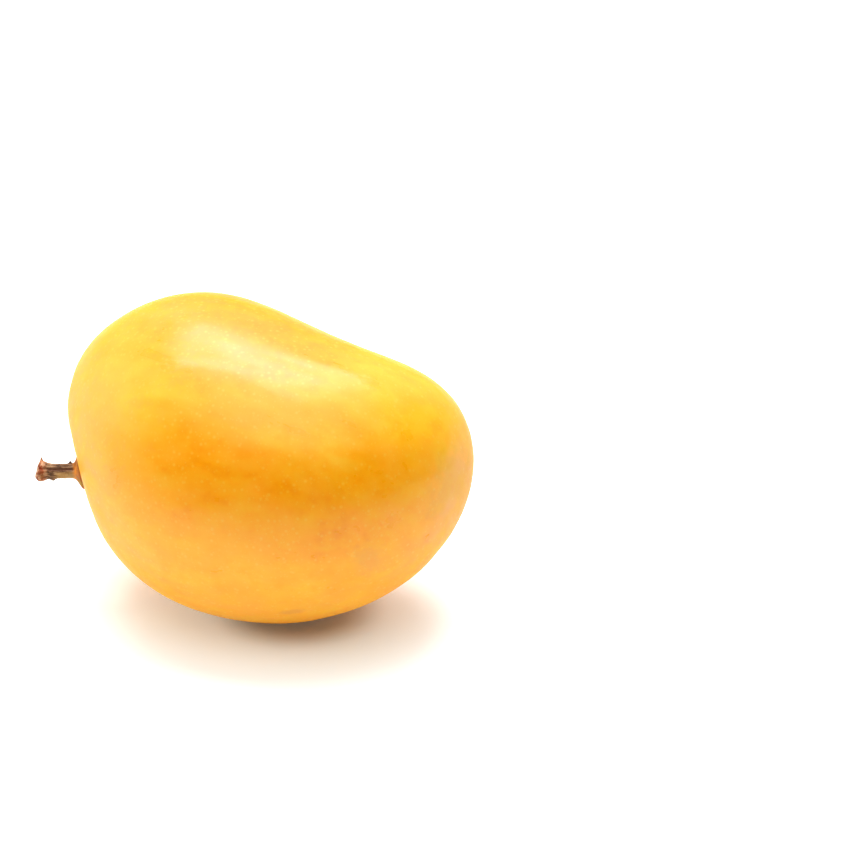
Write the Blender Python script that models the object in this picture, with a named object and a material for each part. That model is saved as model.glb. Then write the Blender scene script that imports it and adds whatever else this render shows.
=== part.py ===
# Mango: a ripe golden fruit lying on its side, with the broken stub of its stalk.
#
# Metres, +Z up. +X runs along the fruit, from the stalk to the tip. The origin is the
# middle of the small flat spot that the fruit rests on.
#
# The fruit is shaped in its own frame, about its middle: X along it, Y from its back to
# its belly, Z from cheek to cheek. An empty then lays it down, turned about its length.

import bpy
import bmesh
from math import atan2, cos, exp, hypot, pi, radians, sin, sqrt
from mathutils import Matrix, Vector, noise

mm = 0.001

# Fruit
LENGTH = 107.6 * mm
WIDTH = 82.7 * mm            # back to belly
THICKNESS = 77.1 * mm        # cheek to cheek
TAPER = 0.026                # how much narrower it gets towards the tip
BLUNT = 0.089                # how much the tip rounds out again
FLANK_TAPER = 0.033          # how much thinner, beyond that, the cheeks get towards the tip
ARCH = 7.9 * mm              # how far both ends curve towards the belly
LIFT = -1.7 * mm             # uneven arch: the tip end curves less than the stalk end
STALK_TO_BACK = radians(32.1)  # the stalk sits this far from the end, towards the back
STALK_TO_CHEEK = radians(8)    # and towards the upper cheek

# Rises and hollows along the fruit: height, place along it (-1 stalk end, 1 tip end), spread
SHOULDER = (1.8 * mm, -0.51, 0.43)   # belly side, beside the stalk
SINUS = (-5.5 * mm, 0.335, 0.51)     # belly side, before the tip
BACK = (-1.3 * mm, 0.0, 0.48)        # flatter middle of the back
SHOULDER_OVERHANG = 0.7              # share of the shoulder that leans towards the stalk end

PIT_DEPTH = 2.2 * mm         # dip round the stalk
PIT_SPREAD = 0.235           # its radius, as an angle in radians seen from the middle
FURROW_DEPTH = 0.9 * mm      # crease from the stalk along the belly side
FURROW_HALF_WIDTH = 2.6 * mm
FURROW_START, FURROW_END = radians(8), radians(48)
SCAR_DEPTH = 0.5 * mm        # dry point where the flower sat, opposite the stalk
SCAR_SPREAD = 0.04

# How it lies
ROLL = radians(44)           # belly turned up and back
PITCH = radians(3.9)         # tip a little lower than the stalk end
FLAT_DEPTH = 0.6 * mm        # how deep the resting spot is pressed flat

# Stalk, along its own line from the skin outwards
STALK_LENGTH = 12.0 * mm
STALK_ROOT = 2.6 * mm        # length that is trimmed off where it meets the skin
SHAFT_RADIUS = 2.0 * mm
COLLAR_RADIUS = 4.9 * mm
COLLAR_HEIGHT = 1.2 * mm
LEAVES_AT = radians(24)      # its direction at the skin, from -X towards the back
ENDS_AT = radians(16)        # its direction further out
SIDE_LEAN = radians(8)       # and all along, towards the upper cheek
BEND_LENGTH = 4.0 * mm
SKIN_GAP = 0.3 * mm

# Lumps on the stalk: height, place along it, spread along it, place round it, spread round it.
# Round it, 0 faces the belly side and 90 degrees the upper cheek.
BUD_SCAR = (0.75 * mm, 2.9 * mm, 0.45 * mm, radians(21), radians(14))
SPUR = (1.0 * mm, 10.6 * mm, 0.45 * mm, radians(24), radians(12))
NODE_SWELLING = (0.6 * mm, 7.4 * mm, 0.7 * mm, radians(205), radians(38))
LUMPS = (BUD_SCAR, SPUR, NODE_SWELLING)
KNOB_SWELL, KNOB_AT, KNOB_SPREAD = 0.65 * mm, 10.6 * mm, 1.3 * mm
END_SLANT = 0.4 * mm         # the break slopes: its lower edge stands out further
END_SLANT_TURN = radians(235)
END_ROUNDING = 1.0 * mm
GROOVE_DEPTH, GROOVE_TURN, GROOVE_SPREAD = 0.35 * mm, radians(94), radians(13)
RIDGES, RIDGE_HEIGHT = 9, 0.10 * mm
BARK_LUMP, BARK_LUMP_SIZE = 0.16 * mm, 1.3 * mm

# Mesh fineness
ROUND_FRUIT, ALONG_FRUIT = 80, 44
ROUND_STALK, ALONG_STALK = 28, 34


def heading(to_back, to_cheek):
    # A direction out of the stalk end, turned towards the back and then the upper cheek
    level = cos(to_cheek)
    return Vector((-cos(to_back) * level, -sin(to_back) * level, sin(to_cheek)))


STALK_SIDE = heading(STALK_TO_BACK, STALK_TO_CHEEK)
FURROW_ACROSS = STALK_SIDE.cross(Vector((0, 1, 0))).normalized()
FURROW_WAY = FURROW_ACROSS.cross(STALK_SIDE)
LAID = Matrix.Rotation(PITCH, 4, "Y") @ Matrix.Rotation(ROLL, 4, "X")


def clear_scene():
    for obj in list(bpy.data.objects):
        bpy.data.objects.remove(obj)


def collection(name):
    made = bpy.data.collections.new(name)
    bpy.context.scene.collection.children.link(made)
    return made


def material(name, color, roughness):
    made = bpy.data.materials.new(name)
    made.use_nodes = True
    shader = made.node_tree.nodes["Principled BSDF"]
    shader.inputs["Base Color"].default_value = (*color, 1)
    shader.inputs["Roughness"].default_value = roughness
    shader.inputs["Metallic"].default_value = 0
    return made


def bump(value, spread):
    return exp(-(value / spread) ** 2)


def ramp(value, start, end):
    # 0 before start, 1 after end, smooth between them
    share = min(max((value - start) / (end - start), 0), 1)
    return share * share * (3 - 2 * share)


def skin_point(way):
    # Where the skin lies in a direction from the fruit's middle
    along, belly, cheek = way
    girth = 1 - TAPER * along + BLUNT * along**3
    x = LENGTH / 2 * along
    y = WIDTH / 2 * belly * girth + ARCH * (along**2 - 1 / 3) + LIFT * along**3
    z = THICKNESS / 2 * cheek * (girth - FLANK_TAPER * along)

    belly_side = ((1 + belly) / 2) ** 2.5
    back_side = ((1 - belly) / 2) ** 2.5
    shoulder = SHOULDER[0] * bump(along - SHOULDER[1], SHOULDER[2]) * belly_side
    y += shoulder + SINUS[0] * bump(along - SINUS[1], SINUS[2]) * belly_side
    y -= BACK[0] * bump(along - BACK[1], BACK[2]) * back_side
    x -= SHOULDER_OVERHANG * shoulder

    point = Vector((x, y, z))
    point -= STALK_SIDE * PIT_DEPTH * bump((way - STALK_SIDE).length, PIT_SPREAD)
    point += STALK_SIDE * SCAR_DEPTH * bump((way + STALK_SIDE).length, SCAR_SPREAD)
    if way.dot(FURROW_WAY) > 0:
        from_stalk = way.angle(STALK_SIDE)
        fade = ramp(from_stalk, 0, FURROW_START) * (1 - ramp(from_stalk, FURROW_START, FURROW_END))
        aside = way.dot(FURROW_ACROSS) * THICKNESS / 2
        point -= way * FURROW_DEPTH * fade * bump(aside, FURROW_HALF_WIDTH)
    return point


def fruit_bmesh(swell=0):
    # A ball with its poles at the stalk and opposite it, pushed out to the skin
    bm = bmesh.new()
    to_stalk = Vector((0, 0, 1)).rotation_difference(STALK_SIDE).to_matrix().to_4x4()
    bmesh.ops.create_uvsphere(bm, u_segments=ROUND_FRUIT, v_segments=ALONG_FRUIT, radius=1, matrix=to_stalk)
    for vert in bm.verts:
        vert.co = skin_point(vert.co.normalized())
    bm.normal_update()
    for vert in bm.verts:
        vert.co += vert.normal * swell
    return bm


def press_flat(bm):
    # Cuts the resting spot and returns its middle, in the fruit's own frame
    down = LAID.inverted().to_3x3() @ Vector((0, 0, -1))
    lowest = max(vert.co.dot(down) for vert in bm.verts)
    spot = down * (lowest - FLAT_DEPTH)
    geometry = bm.verts[:] + bm.edges[:] + bm.faces[:]
    bmesh.ops.bisect_plane(bm, geom=geometry, plane_co=spot, plane_no=down, clear_outer=True)
    rim = [edge for edge in bm.edges if edge.is_boundary]
    flat = bmesh.ops.contextual_create(bm, geom=rim)["faces"][0]
    return flat.calc_center_median()


def to_object(name, bm, parts, mat, empty):
    mesh = bpy.data.meshes.new(name)
    bm.to_mesh(mesh)
    bm.free()
    mesh.materials.append(mat)
    mesh.shade_smooth()
    mesh.set_sharp_from_angle(angle=radians(40))
    made = bpy.data.objects.new(name, mesh)
    made.parent = empty
    parts.objects.link(made)
    return made


def turn_between(a, b):
    # Smallest angle from b to a
    return (a - b + pi) % (2 * pi) - pi


def stalk_line(along):
    # A point on the stalk's middle line, and the directions across it to the belly and the
    # upper cheek. The line leaves the skin one way and turns smoothly to the other.
    way_in = heading(LEAVES_AT, SIDE_LEAN)
    way_out = heading(ENDS_AT, SIDE_LEAN)
    share = min(max(along / BEND_LENGTH, 0), 1)
    turned = BEND_LENGTH * (share**3 - share**4 / 2) + max(along - BEND_LENGTH, 0)
    point = skin_point(STALK_SIDE) + way_in * (along - turned) + way_out * turned
    way = way_in.lerp(way_out, ramp(along, 0, BEND_LENGTH)).normalized()
    belly = Vector((0, 1, 0))
    across = (belly - way * belly.dot(way)).normalized()
    return point, across, across.cross(way)


def stalk_radius(along, turn):
    # The stalk's radius with its collar, knob, ridges, lumps and the dark groove
    radius = SHAFT_RADIUS + (COLLAR_RADIUS - SHAFT_RADIUS) * bump(max(along, 0), COLLAR_HEIGHT)
    radius += KNOB_SWELL * bump(along - KNOB_AT, KNOB_SPREAD)
    clear_of_collar = ramp(along, 0.5 * mm, 2 * mm)
    radius += RIDGE_HEIGHT * cos(RIDGES * turn) * clear_of_collar
    radius -= GROOVE_DEPTH * bump(turn_between(turn, GROOVE_TURN), GROOVE_SPREAD) * clear_of_collar
    for height, at, spread, round_at, round_spread in LUMPS:
        radius += height * bump(along - at, spread) * bump(turn_between(turn, round_at), round_spread)
    place = Vector((along, SHAFT_RADIUS * cos(turn), SHAFT_RADIUS * sin(turn))) / BARK_LUMP_SIZE
    return radius + BARK_LUMP * noise.noise(place) * clear_of_collar


def stalk_bmesh():
    # A straight turned rod along X, then each ring is given its shape and carried to its place
    bm = bmesh.new()
    body = [-STALK_ROOT + (STALK_LENGTH + STALK_ROOT) * i / ALONG_STALK for i in range(ALONG_STALK + 1)]
    profile = [bm.verts.new((x, 0, 1)) for x in body]
    profile.insert(0, bm.verts.new((body[0], 0, 0)))
    profile.append(bm.verts.new((body[-1], 0, 0)))
    edges = [bm.edges.new(pair) for pair in zip(profile, profile[1:])]
    bmesh.ops.spin(bm, geom=profile + edges, axis=(1, 0, 0), angle=2 * pi, steps=ROUND_STALK, use_merge=True)
    bmesh.ops.remove_doubles(bm, verts=bm.verts[:], dist=0.01 * mm)

    for vert in bm.verts:
        along, side, up = vert.co
        share = hypot(side, up)
        turn = atan2(up, side)
        to_end = min(max((along - (STALK_LENGTH - END_ROUNDING)) / END_ROUNDING, 0), 1)
        radius = share * stalk_radius(along, turn) * sqrt(1 - 0.5 * to_end**2)
        far = ramp(along, KNOB_AT - KNOB_SPREAD, STALK_LENGTH)
        slant = END_SLANT * cos(turn - END_SLANT_TURN) * share * far
        point, across, upper = stalk_line(along + slant)
        vert.co = point + across * radius * cos(turn) + upper * radius * sin(turn)
    bmesh.ops.recalc_face_normals(bm, faces=bm.faces[:])
    return bm


def trim_to_skin(stalk, cutters, empty):
    # Cuts the root off along the skin, one gap clear of it
    bm = fruit_bmesh(SKIN_GAP)
    mesh = bpy.data.meshes.new("skin_cutter")
    bm.to_mesh(mesh)
    bm.free()
    cutter = bpy.data.objects.new("skin_cutter", mesh)
    cutter.parent = empty
    cutter.hide_render = True
    cutter.display_type = "WIRE"
    cutters.objects.link(cutter)
    cut = stalk.modifiers.new("trim_to_skin", "BOOLEAN")
    cut.operation = "DIFFERENCE"
    cut.solver = "EXACT"
    cut.object = cutter


def build():
    clear_scene()
    parts = collection("mango")
    cutters = collection("mango_cutters")
    laid = bpy.data.objects.new("laid_down", None)
    parts.objects.link(laid)

    skin = material("ripe_mango_skin", (0.98, 0.42, 0.02), 0.42)
    bark = material("dry_stalk_bark", (0.25, 0.14, 0.07), 0.8)

    bm = fruit_bmesh()
    spot = press_flat(bm)
    laid.matrix_world = Matrix.Translation(-(LAID @ spot)) @ LAID
    to_object("fruit", bm, parts, skin, laid)

    stalk = to_object("stalk", stalk_bmesh(), parts, bark, laid)
    trim_to_skin(stalk, cutters, laid)


build()
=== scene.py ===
# Looks for the ripe mango: waxy golden skin, dry stalk stub, white table and soft light.
import bpy
import bmesh
from math import atan2, cos, exp, hypot, pi, radians, sin, sqrt
from mathutils import Matrix, Vector, noise


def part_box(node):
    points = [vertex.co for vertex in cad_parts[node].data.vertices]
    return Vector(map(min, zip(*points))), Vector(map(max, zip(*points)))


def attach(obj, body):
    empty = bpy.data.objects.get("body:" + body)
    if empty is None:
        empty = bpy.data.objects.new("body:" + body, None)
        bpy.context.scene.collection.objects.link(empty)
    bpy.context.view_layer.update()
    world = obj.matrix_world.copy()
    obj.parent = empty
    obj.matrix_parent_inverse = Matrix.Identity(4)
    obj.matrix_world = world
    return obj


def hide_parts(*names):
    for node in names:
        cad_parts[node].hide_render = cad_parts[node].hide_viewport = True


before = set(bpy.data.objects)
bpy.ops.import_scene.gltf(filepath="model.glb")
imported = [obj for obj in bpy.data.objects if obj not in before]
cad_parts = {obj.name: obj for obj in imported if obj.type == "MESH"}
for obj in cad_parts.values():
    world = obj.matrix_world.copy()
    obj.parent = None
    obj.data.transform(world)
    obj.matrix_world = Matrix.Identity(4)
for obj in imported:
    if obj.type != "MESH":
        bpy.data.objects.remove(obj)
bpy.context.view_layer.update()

mm = 0.001


# Small helpers

def bump(value, spread):
    return exp(-(value / spread) ** 2)


def ramp(value, start, end):
    share = min(max((value - start) / (end - start), 0), 1)  # 0 before start, 1 after end
    return share * share * (3 - 2 * share)


def unevenness(place):
    return 0.5 + 0.5 * noise.noise(place)  # about 0 to 1


def heading(toBack, toCheek):
    level = cos(toCheek)  # out of the stalk end, turned to the back and to the upper cheek
    return Vector((-cos(toBack) * level, -sin(toBack) * level, sin(toCheek)))


def fromSide(azimuth, elevation):
    # The direction towards something seen at that azimuth (0 is the -Y side) and elevation
    return Vector((sin(azimuth) * cos(elevation), -cos(azimuth) * cos(elevation), sin(elevation)))


def linear(hexColor):
    channels = [int(hexColor[i:i + 2], 16) / 255 for i in (1, 3, 5)]
    return (*[c / 12.92 if c <= 0.04045 else ((c + 0.055) / 1.055) ** 2.4 for c in channels], 1)


def addNode(tree, kind, sockets=None, stops=(), **settings):
    node = tree.nodes.new(kind)
    for name, value in settings.items():
        setattr(node, name, value)
    for position, color in stops[1:-1]:  # a colour ramp starts with two stops
        node.color_ramp.elements.new(position)
    for index, (position, color) in enumerate(stops):
        stop = node.color_ramp.elements[index]
        stop.position, stop.color = position, linear(color)
    for socket, value in (sockets or {}).items():
        if isinstance(value, bpy.types.NodeSocket):
            tree.links.new(value, node.inputs[socket])
        else:
            node.inputs[socket].default_value = value
    return node


def newMaterial(name):
    made = bpy.data.materials.new(name)
    made.use_nodes = True
    return made, made.node_tree, made.node_tree.nodes["Principled BSDF"]


def toPiece(name, bm, material):
    mesh = bpy.data.meshes.new(name)
    bm.to_mesh(mesh)
    bm.free()
    mesh.materials.append(material)
    mesh.shade_smooth()
    piece = bpy.data.objects.new(name, mesh)
    bpy.context.scene.collection.objects.link(piece)
    return piece


# The fruit's form, in its own frame: X from stalk to tip, Y from back to belly, Z cheek to cheek

fruitForm = {
    "length": 107.6 * mm,
    "width": 82.7 * mm,            # back to belly
    "thickness": 77.1 * mm,        # cheek to cheek
    "taper": 0.026,                # narrower towards the tip
    "blunt": 0.089,                # the tip rounds out again
    "flankTaper": 0.033,           # the cheeks thin a little more than the width
    "arch": 7.9 * mm,              # both ends curve to the belly
    "lift": -1.7 * mm,             # the tip end curves less than the stalk end
    "shoulder": (1.8 * mm, -0.51, 0.43),   # height, place (-1 stalk end, 1 tip), spread
    "overhang": 0.7,               # share of the shoulder that leans to the stalk end
    "sinus": (-5.5 * mm, 0.335, 0.51),
    "back": (-1.3 * mm, 0.0, 0.48),
    "sideFocus": 2.5,              # how closely these three keep to the belly or the back
    "stalkAt": (radians(32.1), radians(8)),   # from the stalk end to the back and to the upper cheek
    "pit": (2.2 * mm, 0.235),      # depth and spread of the hollow that the stalk sits in
    "puckers": 9,                  # faint creases that run into the pit
    "puckerDepth": 0.10 * mm,
    "puckerRing": (0.16, 0.08),    # where they are deepest, out from the stalk, and spread
    "puckerWander": (2, 9),        # how much they stray, and how finely
    "furrowDepth": 0.9 * mm,       # a shallow furrow beside the stalk
    "furrowHalfWidth": 2.6 * mm,
    "furrowFade": (radians(8), radians(48)),   # deepest here and gone there, out from the stalk
    "scar": (0.5 * mm, 0.04),      # depth and spread of the scar at the tip
    "swells": ((26 * mm, 0.30 * mm), (8 * mm, 0.30 * mm), (2.8 * mm, 0.09 * mm)),  # size and depth
    "swellStretch": 2,             # they run this many times as long from stalk to tip
    "roll": radians(44),           # belly turned up and back
    "pitch": radians(3.9),         # tip a little lower
    "flatDepth": 0.6 * mm,         # the resting spot
    "around": 320,                 # faces round the fruit
    "endToEnd": 200,
}

stalkSide = heading(*fruitForm["stalkAt"])
furrowAcross = stalkSide.cross(Vector((0, 1, 0))).normalized()
furrowWay = furrowAcross.cross(stalkSide)
laid = Matrix.Rotation(fruitForm["pitch"], 4, "Y") @ Matrix.Rotation(fruitForm["roll"], 4, "X")


def skinPoint(way):
    # Where the smooth skin lies in that direction: an egg form, arched and swollen, then the pits
    form = fruitForm
    along, belly, cheek = way
    girth = 1 - form["taper"] * along + form["blunt"] * along**3
    x = form["length"] / 2 * along
    y = form["width"] / 2 * belly * girth + form["arch"] * (along**2 - 1 / 3) + form["lift"] * along**3
    z = form["thickness"] / 2 * cheek * (girth - form["flankTaper"] * along)

    bellySide = ((1 + belly) / 2) ** form["sideFocus"]
    backSide = ((1 - belly) / 2) ** form["sideFocus"]
    shoulder, sinus, back = form["shoulder"], form["sinus"], form["back"]
    raised = shoulder[0] * bump(along - shoulder[1], shoulder[2]) * bellySide
    y += raised + sinus[0] * bump(along - sinus[1], sinus[2]) * bellySide
    y -= back[0] * bump(along - back[1], back[2]) * backSide
    x -= form["overhang"] * raised

    point = Vector((x, y, z))
    pitDepth, pitSpread = form["pit"]
    scarDepth, scarSpread = form["scar"]
    point -= stalkSide * pitDepth * bump((way - stalkSide).length, pitSpread)
    point += stalkSide * scarDepth * bump((way + stalkSide).length, scarSpread)
    if way.dot(furrowWay) > 0:
        fromStalk = way.angle(stalkSide)
        start, end = form["furrowFade"]
        fade = ramp(fromStalk, 0, start) * (1 - ramp(fromStalk, start, end))
        aside = way.dot(furrowAcross) * form["thickness"] / 2
        point -= way * form["furrowDepth"] * fade * bump(aside, form["furrowHalfWidth"])
    return point


def skinRelief(way, point):
    # Depth that the skin's unevenness and the creases round the stalk take off, never adding
    form = fruitForm
    depth = 0
    drawnOut = Vector((point.x / form["swellStretch"], point.y, point.z))
    for size, amount in form["swells"]:
        depth += amount * unevenness(drawnOut / size)
    near = (way - stalkSide).length
    turn = atan2(way.dot(furrowAcross), way.dot(furrowWay))
    stray, fineness = form["puckerWander"]
    crease = 0.5 + 0.5 * cos(form["puckers"] * turn + stray * noise.noise(way * fineness))
    deepest, spread = form["puckerRing"]
    return depth + form["puckerDepth"] * crease * bump(near - deepest, spread)


def makeFruit():
    form = fruitForm
    bm = bmesh.new()
    toStalk = Vector((0, 0, 1)).rotation_difference(stalkSide).to_matrix().to_4x4()
    bmesh.ops.create_uvsphere(bm, u_segments=form["around"], v_segments=form["endToEnd"],
                              radius=1, matrix=toStalk)
    for vert in bm.verts:
        way = vert.co.normalized()
        point = skinPoint(way)
        vert.co = laid @ (point - point.normalized() * skinRelief(way, point))

    # the resting spot is cut level and closed
    level = min(vert.co.z for vert in bm.verts) + form["flatDepth"]
    bmesh.ops.bisect_plane(bm, geom=bm.verts[:] + bm.edges[:] + bm.faces[:],
                           plane_co=(0, 0, level), plane_no=(0, 0, -1), clear_outer=True)
    bmesh.ops.contextual_create(bm, geom=[edge for edge in bm.edges if edge.is_boundary])

    # the whole form fills the CAD fruit's box, which makes up for what the relief took off
    low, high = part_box("fruit")
    ownLow = Vector([min(vert.co[i] for vert in bm.verts) for i in range(3)])
    ownHigh = Vector([max(vert.co[i] for vert in bm.verts) for i in range(3)])
    middle = (low + high) / 2 - (ownLow + ownHigh) / 2
    middle.z = low.z - level
    fill = [(high[i] - low[i]) / (ownHigh[i] - ownLow[i]) for i in range(3)]
    for vert in bm.verts:
        vert.co = [low[i] + (vert.co[i] - ownLow[i]) * fill[i] for i in range(3)]
    return toPiece("mango_fruit", bm, skinMaterial(middle)), middle


# The stalk stub

stalkForm = {
    "length": 11.8 * mm,
    "root": 1.2 * mm,              # sunk into the skin
    "shaft": 1.87 * mm,            # radius
    "collar": 4.9 * mm,            # radius at the skin
    "collarHeight": 1.2 * mm,
    "clearOfCollar": (0.5 * mm, 2.0 * mm),   # the groove and the full bark start between these
    "collarBark": 0.25,            # share of the bark's ridges and grit that the collar keeps
    "startsAt": radians(24),       # its direction at the skin, then further out
    "endsAt": radians(16),
    "lean": radians(8),
    "bendLength": 4.0 * mm,
    "knob": (0.78 * mm, 10.5 * mm, 1.6 * mm),   # height, place, spread
    "lumps": (                     # height, place, spread, turn round it, spread of the turn
        (0.75 * mm, 2.9 * mm, 0.45 * mm, radians(21), radians(14)),    # bud scar
        (1.0 * mm, 10.6 * mm, 0.45 * mm, radians(24), radians(12)),    # dried spur
        (0.6 * mm, 7.4 * mm, 0.7 * mm, radians(205), radians(38)),     # node swelling
    ),
    "groove": (0.35 * mm, radians(94), radians(13)),   # depth, turn round it, spread of the turn
    "fibre": (0.16 * mm, 0.55 * mm, 4.0 * mm),   # depth, width and length of the bark's ridges
    "grit": (0.07 * mm, 0.3 * mm),
    "slant": (0.4 * mm, radians(235)),   # the broken end leans out by this much, and to this side
    "torn": (0.45 * mm, 0.7 * mm),   # how ragged the broken end is, and how coarsely
    "tornSlice": 3,                # the slice of the noise that shapes it
    "tornReach": 2.5 * mm,         # how far down the stub the break is felt
    "endRounding": 1.0 * mm,
    "endNarrowing": 0.5,           # share of its section that the rounded end loses
    "around": 120,
    "rings": 170,
    "faceRings": 8,                # rings across the broken face
    "touching": 0.001 * mm,
}


def turnBetween(a, b):
    return (a - b + pi) % (2 * pi) - pi


def stalkLine(along):
    # A point on the middle line, and the directions across it to the belly and the upper cheek
    form = stalkForm
    wayIn = heading(form["startsAt"], form["lean"])
    wayOut = heading(form["endsAt"], form["lean"])
    share = min(max(along / form["bendLength"], 0), 1)
    # the length run in the new direction: the sum of the ramp over the bend, and all that follows
    turned = form["bendLength"] * (share**3 - share**4 / 2) + max(along - form["bendLength"], 0)
    point = skinPoint(stalkSide) + wayIn * (along - turned) + wayOut * turned
    way = wayIn.lerp(wayOut, ramp(along, 0, form["bendLength"])).normalized()
    belly = Vector((0, 1, 0))
    across = (belly - way * belly.dot(way)).normalized()
    return point, across, across.cross(way)


def stalkRadius(along, turn):
    form = stalkForm
    radius = form["shaft"] + (form["collar"] - form["shaft"]) * bump(max(along, 0), form["collarHeight"])
    knob, knobAt, knobSpread = form["knob"]
    radius += knob * bump(along - knobAt, knobSpread)
    clear = ramp(along, *form["clearOfCollar"])
    deep, grooveTurn, grooveSpread = form["groove"]
    radius -= deep * bump(turnBetween(turn, grooveTurn), grooveSpread) * clear
    for height, at, spread, roundAt, roundSpread in form["lumps"]:
        radius += height * bump(along - at, spread) * bump(turnBetween(turn, roundAt), roundSpread)

    side, up = form["shaft"] * cos(turn), form["shaft"] * sin(turn)
    depth, wide, long = form["fibre"]
    ridge = noise.noise(Vector((along / long, side / wide, up / wide)))
    gritDepth, gritSize = form["grit"]
    grit = noise.noise(Vector((along, side, up)) / gritSize)
    kept = form["collarBark"]
    return radius + (depth * ridge + gritDepth * grit) * (kept + (1 - kept) * clear)


def makeStalk(middle):
    form = stalkForm
    bm = bmesh.new()
    whole = form["length"] + form["root"]
    body = [-form["root"] + whole * i / form["rings"] for i in range(form["rings"] + 1)]
    face = [i / form["faceRings"] for i in range(form["faceRings"])]
    places = [(body[0], 0)] + [(x, 1) for x in body] + [(body[-1], share) for share in reversed(face)]
    profile = [bm.verts.new((x, 0, share)) for x, share in places]
    edges = [bm.edges.new(pair) for pair in zip(profile, profile[1:])]
    bmesh.ops.spin(bm, geom=profile + edges, axis=(1, 0, 0), angle=2 * pi,
                   steps=form["around"], use_merge=True)
    bmesh.ops.remove_doubles(bm, verts=bm.verts[:], dist=form["touching"])

    barkPlace = bm.verts.layers.float_vector.new("barkPlace")
    slant, slantTurn = form["slant"]
    tornDepth, tornSize = form["torn"]
    for vert in bm.verts:
        along, side, up = vert.co
        share, turn = hypot(side, up), atan2(up, side)
        toEnd = min(max((along - form["length"] + form["endRounding"]) / form["endRounding"], 0), 1)
        radius = share * stalkRadius(along, turn) * sqrt(1 - form["endNarrowing"] * toEnd**2)
        across, upper = radius * cos(turn), radius * sin(turn)
        far = ramp(along, form["length"] - form["tornReach"], form["length"])
        moved = slant * cos(turn - slantTurn) * share
        moved -= tornDepth * unevenness(Vector((form["tornSlice"], across, upper)) / tornSize)
        point, toBelly, toCheek = stalkLine(along + moved * far)
        vert.co = laid @ (point + toBelly * across + toCheek * upper) + middle
        vert[barkPlace] = Vector((along, across, upper)) / mm
    bmesh.ops.recalc_face_normals(bm, faces=bm.faces[:])
    return toPiece("mango_stalk", bm, barkMaterial())


# Ripe mango skin: a thin waxy rind over bright flesh. It shines softly and broadly, turns from
# yellow on the belly side to orange on the cheeks, and is dotted with fine pale pores.

skinLook = {
    "ramp": ((0.0, "#EC9000"), (0.25, "#F79A02"), (0.45, "#FBA507"), (0.65, "#FBAF16"), (1.0, "#FBBF2E")),
    "rampRange": (-0.7, 1.1),   # the yellowness that gives the ramp's first colour and its last
    "plain": 0.6,          # the skin's own yellowness, before clouds, streaks, mottles and zones
    "clouds": (26, 1.1),   # mm across, and how much yellower or more orange they make it
    "streaks": (5, 1.3),
    "streakAlong": 0.33,   # their scale from stalk to tip, which draws them out three times as long
    "mottle": (3.5, 1.5),
    "zones": (             # middle and half size in the fruit's own frame, mm, and how much yellower
        ((0, -10, 34), (24, 11, 40), -0.20),
        ((20, -23, 29), (26, 11, 36), -0.38),
        ((42, -20, 14), (16, 12, 24), -0.28),
        ((38, 14, 22), (20, 12, 22), 0.58),
        # painted shade: the next two give the lit top and the skin under the highlight a deeper orange, to
        # even out the light from above
        ((-10, 26, 26), (36, 18, 24), -0.90),
        ((8, 10, 36), (26, 11, 12), -0.30),
        # painted sheen: paler, yellower skin just below the highlight
        ((12, -3, 38), (18, 9, 12), 0.25),
        ((53, -2, 4), (9, 18, 16), -0.35),
        ((-30, 8, 28), (14, 20, 24), 0.08),
        ((0, 6, -36), (64, 40, 36), -0.85),
        ((30, 10, -24), (16, 10, 16), 0.35),
    ),
    "zoneEdge": (0.2, 1.5),   # full within and gone beyond, in half sizes
    "blush": ("#FF9C1C", 7, 0.35),   # a pinker orange in clouds this many mm across, and its strength
    "blushEdge": (0.45, 0.65),
    "pore": "#FFC952",
    "pores": ((1.9, 0.72, 0.42), (1.2, 0.38, 0.36)),   # mm between them, mm across, how pale
    "poreEdge": (0.2, 0.75),   # full within and gone beyond, in widths
    "marks": (             # middle and half size in the fruit's own frame, mm, colour and strength
        ((21.5, -38.2, 2.8), (5.0, 1.7, 1.8), "#D5804A", 0.32),     # healed scratch
        ((39.4, -23.7, 13.2), (6.0, 4.0, 6.0), "#DE9C52", 0.28),    # faint rub
        ((53.0, 1.0, 5.0), (6.0, 13.0, 16.0), "#DCA83A", 0.34),     # painted greenish reflection at the tip end
        ((-28.0, 6.0, 26.0), (18.0, 26.0, 22.0), "#FCC46C", 0.24),  # paler shoulder: partly its own paler yellow, partly painted sheen round the highlight
        ((-20.0, -34.0, -18.0), (4.0, 2.0, 5.0), "#D08A40", 0.40),  # two healed marks on the far side
        ((12.0, 24.0, -27.0), (3.0, 5.0, 2.5), "#CC8238", 0.35),
    ),
    "markEdge": (0.5, 1.1),
    "fray": 1.6,           # how raggedly the mottle breaks up the marks' edges
    "stalkRing": (7.2, "#C27A22", 0.75),   # mm from the stalk's middle, colour and strength
    "tipScar": (1.5, "#6E4A2A", 0.85),
    "specks": (11.0, 0.5, "#BE7424", 0.45),   # mm between them, mm across, colour and strength
    "speckEdge": (0.3, 0.75),
    "roughness": (0.37, 0.12),   # the rind's own, and how much it varies with the streaks
    "streakRange": (0.3, 0.7),
    "edgeRoughness": 0.74,   # the skin's texture dulls it where it turns away
    "edgeTurn": (0.4, 0.8),   # how far it is turned away where that starts and where it is full
    "wax": (0.22, 0.24),   # the thin wax bloom over the rind, smoother than the rind, and its roughness
    "index": 1.47,         # plant wax
    "grain": (0.7, 2),     # mm across, and its detail
    "poreRise": 0.5,       # pores stand up by this share of the grain
    "relief": (0.12, 0.1 * mm),
    "flesh": (0.12, (1.0, 0.4, 0.1), 2.5 * mm),   # light that spreads below the rind: share, colour, reach
}


def reachFrom(tree, place, at, size):
    # How far each place is from a patch's middle, in the patch's half sizes
    within = addNode(tree, "ShaderNodeMapping", {"Vector": place, "Location": at, "Scale": size},
                     vector_type="TEXTURE").outputs[0]
    return addNode(tree, "ShaderNodeVectorMath", {0: within}, operation="LENGTH").outputs["Value"]


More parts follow.
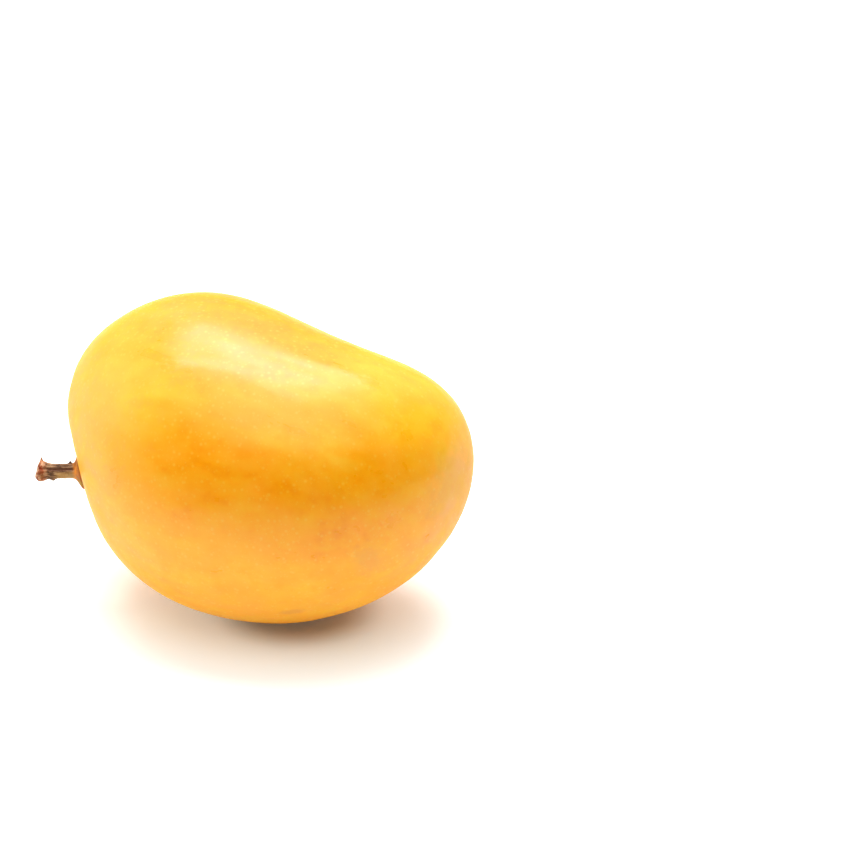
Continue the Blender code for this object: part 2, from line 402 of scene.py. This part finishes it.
def dots(tree, place, gap, across, edge, strength):
    # Round dots, one in each cell of a loose pattern that is one gap across
    full, gone = edge
    cells = addNode(tree, "ShaderNodeTexVoronoi", {"Vector": place, "Scale": 1 / gap}).outputs["Distance"]
    return addNode(tree, "ShaderNodeMapRange", {"Value": cells, "From Min": across / gap * gone,
                                                "From Max": across / gap * full,
                                                "To Max": strength}).outputs[0]


def skinBase(tree, place, streaks, mottle):
    # How yellow each place is: clouds, streaks and mottles over the orange and yellow zones, among them
    # painted shade on the lit top and a painted sheen below the highlight
    look = skinLook
    cloudSize, cloudAmount = look["clouds"]
    clouds = addNode(tree, "ShaderNodeTexNoise", {"Vector": place, "Scale": 1 / cloudSize, "Detail": 3,
                                                  "Roughness": 0.55}).outputs[0]
    yellow = look["plain"]
    patterns = ((clouds, cloudAmount), (streaks, look["streaks"][1]), (mottle, look["mottle"][1]))
    for pattern, amount in patterns:
        centred = addNode(tree, "ShaderNodeMath", {0: pattern, 1: -0.5}, operation="ADD").outputs[0]
        yellow = addNode(tree, "ShaderNodeMath", {0: centred, 1: amount, 2: yellow},
                         operation="MULTIPLY_ADD").outputs[0]
    full, gone = look["zoneEdge"]
    for at, size, amount in look["zones"]:
        reach = reachFrom(tree, place, at, size)
        zone = addNode(tree, "ShaderNodeMapRange", {"Value": reach, "From Min": gone, "From Max": full,
                                                    "To Max": amount},
                       interpolation_type="SMOOTHSTEP").outputs[0]
        yellow = addNode(tree, "ShaderNodeMath", {0: yellow, 1: zone}, operation="ADD").outputs[0]
    lowest, highest = look["rampRange"]
    share = addNode(tree, "ShaderNodeMapRange", {"Value": yellow, "From Min": lowest,
                                                 "From Max": highest}).outputs[0]
    base = addNode(tree, "ShaderNodeValToRGB", {"Fac": share}, stops=look["ramp"]).outputs[0]

    tint, across, strength = look["blush"]
    clouds = addNode(tree, "ShaderNodeTexNoise", {"Vector": place, "Scale": 1 / across, "Detail": 3,
                                                  "Roughness": 0.6}).outputs[0]
    start, end = look["blushEdge"]
    blush = addNode(tree, "ShaderNodeMapRange", {"Value": clouds, "From Min": start, "From Max": end,
                                                 "To Max": strength}).outputs[0]
    return addNode(tree, "ShaderNodeMix", {0: blush, 6: base, 7: linear(tint)}, data_type="RGBA").outputs[2]


def skinMarks(tree, place, mottle, color):
    # Healed marks and painted tints (sheen on the shoulder, a greenish reflection at the tip end), frayed by
    # the mottle, the stained skin round the stalk and at the tip, and specks
    look = skinLook
    marks = list(look["marks"])
    for side, (across, tint, strength) in ((stalkSide, look["stalkRing"]), (-stalkSide, look["tipScar"])):
        marks.append((skinPoint(side) / mm, (across, across, across), tint, strength))
    fray = addNode(tree, "ShaderNodeMath", {0: mottle, 1: look["fray"], 2: -look["fray"] / 2},
                   operation="MULTIPLY_ADD").outputs[0]
    full, gone = look["markEdge"]
    for at, size, tint, strength in marks:
        reach = reachFrom(tree, place, at, size)
        frayed = addNode(tree, "ShaderNodeMath", {0: reach, 1: fray}, operation="ADD").outputs[0]
        mark = addNode(tree, "ShaderNodeMapRange", {"Value": frayed, "From Min": gone, "From Max": full,
                                                    "To Max": strength}).outputs[0]
        color = addNode(tree, "ShaderNodeMix", {0: mark, 6: color, 7: linear(tint)},
                        data_type="RGBA").outputs[2]
    gap, across, tint, strength = look["specks"]
    speck = dots(tree, place, gap, across, look["speckEdge"], strength)
    return addNode(tree, "ShaderNodeMix", {0: speck, 6: color, 7: linear(tint)}, data_type="RGBA").outputs[2]


def skinSheen(tree, streaks):
    # A soft sheen that varies with the streaks and dulls towards the edge
    look = skinLook
    roughness, change = look["roughness"]
    low, high = look["streakRange"]
    rough = addNode(tree, "ShaderNodeMapRange", {"Value": streaks, "From Min": low, "From Max": high,
                                                 "To Min": roughness - change,
                                                 "To Max": roughness + change}).outputs[0]
    facing = addNode(tree, "ShaderNodeLayerWeight", {"Blend": 0.5}).outputs["Facing"]
    start, end = look["edgeTurn"]
    edge = addNode(tree, "ShaderNodeMapRange", {"Value": facing, "From Min": start, "From Max": end,
                                                "To Max": look["edgeRoughness"] - roughness},
                   interpolation_type="SMOOTHSTEP").outputs[0]
    return addNode(tree, "ShaderNodeMath", {0: rough, 1: edge}, operation="ADD").outputs[0]


def skinMaterial(middle):
    look = skinLook
    made, tree, shader = newMaterial("waxy_mango_skin")
    objectPlace = addNode(tree, "ShaderNodeTexCoord").outputs["Object"]
    own = addNode(tree, "ShaderNodeMapping", {"Vector": objectPlace, "Location": middle,
                                              "Rotation": laid.to_euler()}, vector_type="TEXTURE").outputs[0]
    place = addNode(tree, "ShaderNodeVectorMath", {0: own, "Scale": 1 / mm}, operation="SCALE").outputs[0]
    along = addNode(tree, "ShaderNodeMapping", {"Vector": place,
                                                "Scale": (look["streakAlong"], 1, 1)}).outputs[0]
    streaks = addNode(tree, "ShaderNodeTexNoise", {"Vector": along, "Scale": 1 / look["streaks"][0],
                                                   "Detail": 3, "Roughness": 0.55}).outputs[0]
    mottle = addNode(tree, "ShaderNodeTexNoise", {"Vector": place, "Scale": 1 / look["mottle"][0],
                                                  "Detail": 4, "Roughness": 0.65}).outputs[0]

    # pale pores, the larger ones sparser
    fewer, finer = [dots(tree, place, gap, across, look["poreEdge"], pale)
                    for gap, across, pale in look["pores"]]
    pores = addNode(tree, "ShaderNodeMath", {0: fewer, 1: finer}, operation="MAXIMUM").outputs[0]
    base = skinBase(tree, place, streaks, mottle)
    color = addNode(tree, "ShaderNodeMix", {0: pores, 6: base, 7: linear(look["pore"])},
                    data_type="RGBA").outputs[2]
    tree.links.new(skinMarks(tree, place, mottle, color), shader.inputs["Base Color"])
    tree.links.new(skinSheen(tree, streaks), shader.inputs["Roughness"])

    # fine grain, and pores that stand up slightly
    grainSize, grainDetail = look["grain"]
    grain = addNode(tree, "ShaderNodeTexNoise", {"Vector": place, "Scale": 1 / grainSize,
                                                 "Detail": grainDetail}).outputs[0]
    relief = addNode(tree, "ShaderNodeMath", {0: pores, 1: look["poreRise"], 2: grain},
                     operation="MULTIPLY_ADD").outputs[0]
    strength, depth = look["relief"]
    bumped = addNode(tree, "ShaderNodeBump", {"Height": relief, "Strength": strength,
                                              "Distance": depth}).outputs[0]
    tree.links.new(bumped, shader.inputs["Normal"])
    tree.links.new(bumped, shader.inputs["Coat Normal"])
    shader.inputs["IOR"].default_value = look["index"]
    shader.inputs["Coat Weight"].default_value, shader.inputs["Coat Roughness"].default_value = look["wax"]
    share, spread, reach = look["flesh"]
    shader.inputs["Subsurface Weight"].default_value = share
    shader.inputs["Subsurface Radius"].default_value = spread
    shader.inputs["Subsurface Scale"].default_value = reach
    return made


# Dry stalk bark: dull brown fibres with dark furrows, over an orange collar, to a reddish break.

barkLook = {
    "bark": ((0.38, "#402818"), (0.50, "#8A6848"), (0.66, "#BCA080")),   # furrow, bark and ridge
    "fibres": (0.28, 1.6, 1.6),   # scale per mm, along the stub and across it
    "bands": (             # turn round it from the belly side, half width, colour, strength, where it ends
        (radians(94), radians(13), "#5E3822", 0.9, 9.0),     # painted shade along the groove
        (radians(150), radians(44), "#B89458", 0.7, 6.4),    # yellower underside
    ),
    "bandEnd": 0.6,        # mm, how softly they end
    "sway": 0.9,           # how much the fibres bend the bands' edges
    "patches": (           # colours, and where along the stub they start and are full, mm
        (((0.38, "#F0983A"), (0.60, "#E08A28")), 3.1, 2.1),                      # orange collar
        (((0.38, "#B06820"), (0.60, "#B06820")), 1.9, 1.1),                      # its darker rim next to the skin, painted shade where the collar meets the fruit
        (((0.38, "#8C4C2C"), (0.47, "#B27A54"), (0.60, "#C8A080")), 9.4, 10.6),  # the break
    ),
    "spots": 1.1,          # scale per mm of the spots in the patches
    "wobble": 1.6,         # mm, how raggedly the patches start
    "knots": (             # place along, to the belly and to the upper cheek in mm, width, colour, strength
        ((2.9, 2.5, 1.0), 1.9, "#3A2430", 0.95),         # bud scar
        ((7.5, -1.7, 1.6), 1.0, "#40280E", 0.85),        # three dark patches on the node swelling
        ((8.2, -2.3, 0.6), 1.0, "#4A2C14", 0.80),
        ((7.3, -2.5, -0.7), 1.4, "#5C4028", 0.80),
        ((10.7, 3.6, 1.6), 1.9, "#5E5A40", 0.90),        # dried spur
        ((10.4, -0.2, 2.4), 1.9, "#8E3A0C", 0.90),       # three deep spots on the break
        ((10.4, -1.2, 2.2), 1.7, "#824010", 0.90),
        ((10.0, -1.9, 1.6), 1.5, "#8A5C2C", 0.80),
        ((1.1, 3.0, 1.2), 3.4, "#C88A10", 0.95),         # ochre, and browner spots, on the collar
        ((1.1, 1.0, 2.9), 2.0, "#A05A18", 0.85),
        ((0.8, -3.0, 2.2), 3.2, "#B06C2C", 0.85),
        ((0.4, -4.0, 1.9), 2.6, "#A08028", 0.80),
    ),
    "knotFray": 0.8,
    "knotEdge": (0.3, 0.65),   # mm: full this far past a quarter of the width, gone past half of it
    "roughness": 0.75,
    "relief": (0.5, 0.25 * mm),
}


def barkBands(tree, axes, streaks, color):
    # Round the stub: painted shade along the groove and a yellower underside
    look = barkLook
    turn = addNode(tree, "ShaderNodeMath", {0: axes["Z"], 1: axes["Y"]}, operation="ARCTAN2").outputs[0]
    swayed = addNode(tree, "ShaderNodeMath", {0: streaks, 1: look["sway"], 2: turn},
                     operation="MULTIPLY_ADD").outputs[0]
    for middleTurn, half, tint, strength, ends in look["bands"]:
        aside = addNode(tree, "ShaderNodeMath", {0: swayed, 1: -middleTurn - look["sway"] / 2},
                        operation="ADD").outputs[0]
        aside = addNode(tree, "ShaderNodeMath", {0: aside, 1: pi, 2: -pi}, operation="WRAP").outputs[0]
        aside = addNode(tree, "ShaderNodeMath", {0: aside}, operation="ABSOLUTE").outputs[0]
        band = addNode(tree, "ShaderNodeMapRange", {"Value": aside, "From Min": half, "From Max": half / 2,
                                                    "To Max": strength}).outputs[0]
        before = addNode(tree, "ShaderNodeMapRange", {"Value": axes["X"], "From Min": ends + look["bandEnd"],
                                                      "From Max": ends - look["bandEnd"]}).outputs[0]
        band = addNode(tree, "ShaderNodeMath", {0: band, 1: before}, operation="MULTIPLY").outputs[0]
        color = addNode(tree, "ShaderNodeMix", {0: band, 6: color, 7: linear(tint)},
                        data_type="RGBA").outputs[2]
    return color


def barkMaterial():
    look = barkLook
    made, tree, shader = newMaterial("dry_stalk_bark")
    place = addNode(tree, "ShaderNodeAttribute", attribute_name="barkPlace").outputs["Vector"]
    axes = addNode(tree, "ShaderNodeSeparateXYZ", {0: place}).outputs
    drawnOut = addNode(tree, "ShaderNodeMapping", {"Vector": place, "Scale": look["fibres"]}).outputs[0]
    streaks = addNode(tree, "ShaderNodeTexNoise", {"Vector": drawnOut, "Scale": 1.0, "Detail": 5,
                                                   "Roughness": 0.65}).outputs[0]
    bark = addNode(tree, "ShaderNodeValToRGB", {"Fac": streaks}, stops=look["bark"]).outputs[0]
    color = barkBands(tree, axes, streaks, bark)

    # along the stub: the collar with its rim, then the break
    spots = addNode(tree, "ShaderNodeTexNoise", {"Vector": place, "Scale": look["spots"],
                                                 "Detail": 4}).outputs[0]
    wobbled = addNode(tree, "ShaderNodeMath", {0: streaks, 1: look["wobble"], 2: axes["X"]},
                      operation="MULTIPLY_ADD").outputs[0]
    for colors, start, full in look["patches"]:
        spotted = addNode(tree, "ShaderNodeValToRGB", {"Fac": spots}, stops=colors).outputs[0]
        patch = addNode(tree, "ShaderNodeMapRange", {"Value": wobbled, "From Min": start,
                                                     "From Max": full}).outputs[0]
        color = addNode(tree, "ShaderNodeMix", {0: patch, 6: color, 7: spotted}, data_type="RGBA").outputs[2]

    # knots, scars and deep spots
    nearEdge, farEdge = look["knotEdge"]
    for at, across, tint, strength in look["knots"]:
        offset = addNode(tree, "ShaderNodeVectorMath", {0: place, 1: at},
                         operation="DISTANCE").outputs["Value"]
        frayed = addNode(tree, "ShaderNodeMath", {0: spots, 1: look["knotFray"], 2: offset},
                         operation="MULTIPLY_ADD").outputs[0]
        knot = addNode(tree, "ShaderNodeMapRange", {"Value": frayed, "From Min": across / 2 + farEdge,
                                                    "From Max": across / 4 + nearEdge,
                                                    "To Max": strength}).outputs[0]
        color = addNode(tree, "ShaderNodeMix", {0: knot, 6: color, 7: linear(tint)},
                        data_type="RGBA").outputs[2]
    tree.links.new(color, shader.inputs["Base Color"])
    shader.inputs["Roughness"].default_value = look["roughness"]
    strength, depth = look["relief"]
    bumped = addNode(tree, "ShaderNodeBump", {"Height": streaks, "Strength": strength,
                                              "Distance": depth}).outputs[0]
    tree.links.new(bumped, shader.inputs["Normal"])
    return made


# Stage

stageLook = {
    "tableSize": 8.0,
    "table": "#E9E9E9",
    "paintedFarShade": "#B6B6B6",         # painted shade: the table's grey beyond the lit pool
    "poolAt": (-0.15, 0.35, 0.0),  # metres
    "pool": (0.45, 1.0),           # full within and gone beyond, metres
    "glow": ("#E2FAFB", 0.27),     # the pool is lit softly from within, like a light table
    "contactAt": (0.010, 0.0, 0.0),
    "contact": (0.012, 0.025),     # painted contact shadow: the glow is dim within the first and full beyond the second, metres
    "contactGlow": 0.22,           # share of the glow that is left where the fruit rests
    "softbox": (2.45, 2.2),        # metres, lying level above and behind the fruit
    "softboxAt": (-0.57, 1.12, 3.0),
    "softboxPower": 104,           # watts
    "room": 0.38,
    "walls": (                     # azimuth, elevation, full within, gone beyond, brightness added
        (radians(13), radians(13), radians(33), radians(68), -0.38),     # unlit side, in front
        (radians(98), radians(10), radians(24), radians(64), -0.38),     # dark corner on the right
        (radians(-85), radians(4), radians(10), radians(36), 0.75),      # white card on the left
        (radians(10), radians(80), radians(15), radians(48), 1.1),       # ceiling over the table
        (radians(14), radians(66), radians(8), radians(28), 1.0),        # its bounce in front of the softbox
        (radians(182), radians(42), radians(12), radians(44), 0.6),      # pale backdrop behind
    ),
}


def makeTable():
    # A matt white table: no shine of its own, a soft glow in the lit pool, painted grey beyond it, and a
    # painted shadow where the glow dims under the fruit
    look = stageLook
    made, tree, shader = newMaterial("matt_white_table")
    place = addNode(tree, "ShaderNodeTexCoord").outputs["Object"]
    fromPool = addNode(tree, "ShaderNodeVectorMath", {0: place, 1: look["poolAt"]},
                       operation="DISTANCE").outputs["Value"]
    full, gone = look["pool"]
    lit = addNode(tree, "ShaderNodeMapRange", {"Value": fromPool, "From Min": gone, "From Max": full},
                  interpolation_type="SMOOTHSTEP").outputs[0]
    # painted pool of light: white in the pool, painted grey beyond it
    paint = addNode(tree, "ShaderNodeMix", {0: lit, 6: linear(look["paintedFarShade"]), 7: linear(look["table"])},
                    data_type="RGBA").outputs[2]
    tree.links.new(paint, shader.inputs["Base Color"])

    tint, strength = look["glow"]
    # painted contact shadow: the glow fades where the fruit rests
    dim, clear = look["contact"]
    fromContact = addNode(tree, "ShaderNodeVectorMath", {0: place, 1: look["contactAt"]},
                          operation="DISTANCE").outputs["Value"]
    free = addNode(tree, "ShaderNodeMapRange", {"Value": fromContact, "From Min": dim, "From Max": clear,
                                                "To Min": strength * look["contactGlow"], "To Max": strength},
                   interpolation_type="SMOOTHSTEP").outputs[0]
    glow = addNode(tree, "ShaderNodeMath", {0: lit, 1: free}, operation="MULTIPLY").outputs[0]
    tree.links.new(glow, shader.inputs["Emission Strength"])
    shader.inputs["Emission Color"].default_value = linear(tint)
    shader.inputs["Roughness"].default_value = 1.0
    shader.inputs["Specular IOR Level"].default_value = 0.0
    bm = bmesh.new()
    bmesh.ops.create_grid(bm, x_segments=1, y_segments=1, size=look["tableSize"] / 2)
    return toPiece("table_top", bm, made)


def makeRoom():
    look = stageLook
    world = bpy.data.worlds.new("soft_room")
    world.use_nodes = True
    room = world.node_tree
    way = addNode(room, "ShaderNodeTexCoord").outputs["Generated"]
    strength = look["room"]
    for azimuth, elevation, within, beyond, added in look["walls"]:
        facing = addNode(room, "ShaderNodeVectorMath", {0: way, 1: fromSide(azimuth, elevation)},
                         operation="DOT_PRODUCT").outputs["Value"]
        wall = addNode(room, "ShaderNodeMapRange", {"Value": facing, "From Min": cos(beyond),
                                                    "From Max": cos(within), "To Max": added},
                       interpolation_type="SMOOTHSTEP").outputs[0]
        strength = addNode(room, "ShaderNodeMath", {0: wall, 1: strength}, operation="ADD").outputs[0]
    strength = addNode(room, "ShaderNodeMath", {0: strength, 1: 0.0}, operation="MAXIMUM").outputs[0]
    background = room.nodes["Background"]
    background.inputs["Color"].default_value = (1, 1, 1, 1)
    room.links.new(strength, background.inputs["Strength"])
    bpy.context.scene.world = world


def makeSoftbox():
    look = stageLook
    light = bpy.data.lights.new("big_softbox", "AREA")
    light.shape = "RECTANGLE"
    light.size, light.size_y = look["softbox"]
    light.energy = look["softboxPower"]
    lamp = bpy.data.objects.new("big_softbox", light)
    lamp.location = look["softboxAt"]
    bpy.context.scene.collection.objects.link(lamp)


# Camera at the photograph's view

cameraLook = {
    "azimuth": radians(19.7),
    "elevation": radians(26),
    "distance": 0.760,
    "lens": 127,
    "sensor": 36,
    "middleAt": (262.9, 455.4),   # where the fruit's middle shows, in pixels
    "frameSize": 850,             # pixels each way
}


def makeCamera(middle):
    look = cameraLook
    azimuth, distance, frameSize = look["azimuth"], look["distance"], look["frameSize"]
    back = fromSide(azimuth, look["elevation"])
    right = Vector((cos(azimuth), sin(azimuth), 0))
    up = back.cross(right)
    focal = look["lens"] / look["sensor"] * frameSize
    aside = (look["middleAt"][0] - frameSize / 2) / focal
    above = (frameSize / 2 - look["middleAt"][1]) / focal
    data = bpy.data.cameras.new("photo_view")
    data.lens = look["lens"]
    data.sensor_width = look["sensor"]
    camera = bpy.data.objects.new("photo_view", data)
    turned = Matrix((right, up, back)).transposed().to_4x4()
    camera.matrix_world = Matrix.Translation(middle + distance * (back - aside * right - above * up)) @ turned
    bpy.context.scene.collection.objects.link(camera)
    bpy.context.scene.camera = camera


fruit, middle = makeFruit()
print("fruit shaped")
stalk = makeStalk(middle)
print("stalk shaped")
for piece, node, slot in ((fruit, "fruit", "skin"), (stalk, "stalk", "bark")):
    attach(piece, "root")
    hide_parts(node)
floor = makeTable()
makeRoom()
makeSoftbox()
bpy.context.scene.view_settings.view_transform = "Standard"
bpy.context.scene.view_settings.look = "Medium High Contrast"
makeCamera(middle)
print("stage and camera set")
